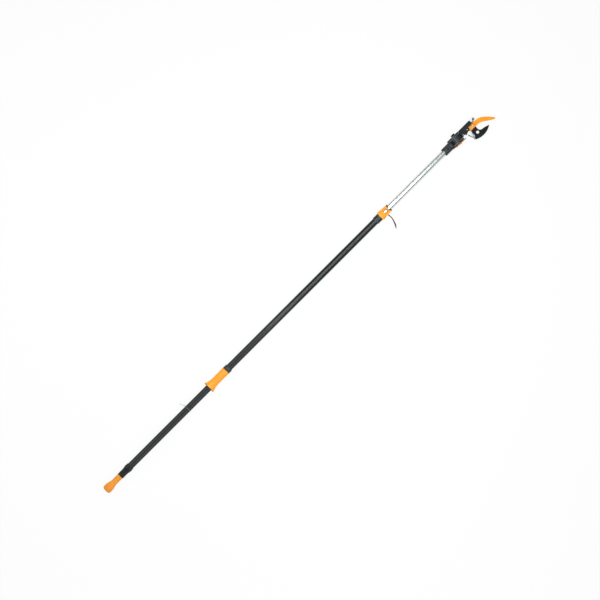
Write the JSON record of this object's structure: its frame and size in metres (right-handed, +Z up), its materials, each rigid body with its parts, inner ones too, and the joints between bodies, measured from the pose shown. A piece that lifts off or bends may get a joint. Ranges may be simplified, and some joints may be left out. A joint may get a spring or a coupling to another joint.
{
  "type": "telescoping pole pruner",
  "caption": "Long telescoping garden pole with a sliding pull handle, a lever clamp and a tilting hook-and-blade cutting head.",
  "frame": {"origin": "bottom centre of the whole object's box as it lies on a floor, hook plane level", "axes": "+X along the pole from the end knob to the cutting head, +Z up from the floor, +Y completes the hand: the blade hangs on the -Y side of the pole"},
  "size_m": [2.2994, 0.1252, 0.052],
  "materials": {
    "orange_plastic": "moulded, satin gloss, fine texture",
    "black_plastic": "moulded glass-filled nylon, satin",
    "black_tube_paint": "black powder-coated aluminium tube, satin gloss",
    "black_rubber": "soft black elastomer",
    "aluminium": "clear anodised, drawn, satin",
    "steel": "zinc plated or ground steel",
    "black_coated_steel": "low-friction black coating on hardened steel",
    "orange_coated_steel": "orange coating on forged steel",
    "pale_webbing": "woven polyester webbing"
  },
  "bodies": {
    "outer_pole": {"outer_tube": "black_tube_paint", "end_collar": "black_plastic", "stop_clip": "steel", "clamp_collar": "black_plastic", "clamp_body": "orange_plastic", "clamp_liner": "black_rubber", "clamp_screw": "steel", "clamp_nut": "steel", "lever_pin": "steel"},
    "clamp_lever": {"clamp_lever": "black_plastic"},
    "pull_handle": {"end_knob": "orange_plastic", "knob_cap": "black_rubber", "knob_screw": "steel", "pull_rod": "aluminium", "drive_block": "black_plastic", "drive_pin": "steel", "slider_core": "black_plastic", "slider_flange": "black_plastic", "slider_grip": "orange_plastic"},
    "inner_pole": {"inner_tube": "aluminium", "inner_tube_bush": "black_plastic", "head_socket": "black_plastic", "socket_screw": "steel", "knuckle_bolt": "steel", "knuckle_nut": "black_plastic", "knuckle_washer_low": "black_rubber", "knuckle_washer_high": "black_rubber"},
    "strap": {"pull_strap": "pale_webbing"},
    "lock_lever": {"lock_lever": "orange_plastic", "lock_lever_tip": "black_plastic"},
    "head": {"head_frame": "black_plastic", "head_cover": "black_plastic", "cover_screw_1": "steel", "cover_screw_2": "steel", "hook": "orange_coated_steel", "pivot_screw": "steel", "pivot_nut": "steel", "spring_anchor": "steel", "return_spring": "steel", "head_strap": "pale_webbing", "body_roller_pin": "steel"},
    "blade": {"blade": "black_coated_steel", "drive_lever": "steel", "blade_rivet": "steel", "spring_pin": "steel", "arm_roller_pin": "steel"},
    "body_roller": {"body_roller": "black_plastic"},
    "arm_roller": {"arm_roller": "black_plastic"}
  },
  "joints": [
    {"name": "telescope", "type": "slide", "parent": "outer_pole", "child": "inner_pole", "axis": [1, 0, 0], "range_m": [0, 0.7]},
    {"name": "clamp_lever_fold", "type": "hinge", "parent": "outer_pole", "child": "clamp_lever", "pos_m": [0.53435, 0.00459, 0.026], "axis": [0, 0, 1], "range_deg": [-70, 0]},
    {"name": "pull", "type": "slide", "parent": "outer_pole", "child": "pull_handle", "axis": [-1, 0, 0], "range_m": [0, 0.108], "stiffness_N_per_m": 60, "springref_m": -0.03},
    {"name": "strap_run", "type": "slide", "parent": "inner_pole", "child": "strap", "axis": [-1, 0, 0], "range_m": [0, 0.108]},
    {"name": "head_tilt", "type": "hinge", "parent": "inner_pole", "child": "head", "pos_m": [0.96825, 0.02299, 0.026], "axis": [0, 1, 0], "range_deg": [-115, 115]},
    {"name": "lock_lever_turn", "type": "hinge", "parent": "inner_pole", "child": "lock_lever", "pos_m": [0.96825, 0.02299, 0.026], "axis": [0, 1, 0], "range_deg": [0, 90]},
    {"name": "blade_pivot", "type": "hinge", "parent": "head", "child": "blade", "pos_m": [1.05475, 0.01769, 0.026], "axis": [0, 0, 1], "range_deg": [0, 48], "deforming": ["return_spring", "head_strap"]},
    {"name": "arm_roller_spin", "type": "hinge", "parent": "blade", "child": "arm_roller", "pos_m": [1.07925, 0.03789, 0.026], "axis": [0, 0, 1], "continuous": true},
    {"name": "body_roller_spin", "type": "hinge", "parent": "head", "child": "body_roller", "pos_m": [1.01725, 0.03789, 0.026], "axis": [0, 0, 1], "continuous": true}
  ],
  "couplings": [
    {"joint": "strap_run", "follows": "pull", "ratio": 1},
    {"joint": "blade_pivot", "follows": "pull", "rad_per_m": 7.757},
    {"joint": "arm_roller_spin", "follows": "pull", "rad_per_m": -150},
    {"joint": "body_roller_spin", "follows": "pull", "rad_per_m": 100}
  ]
}
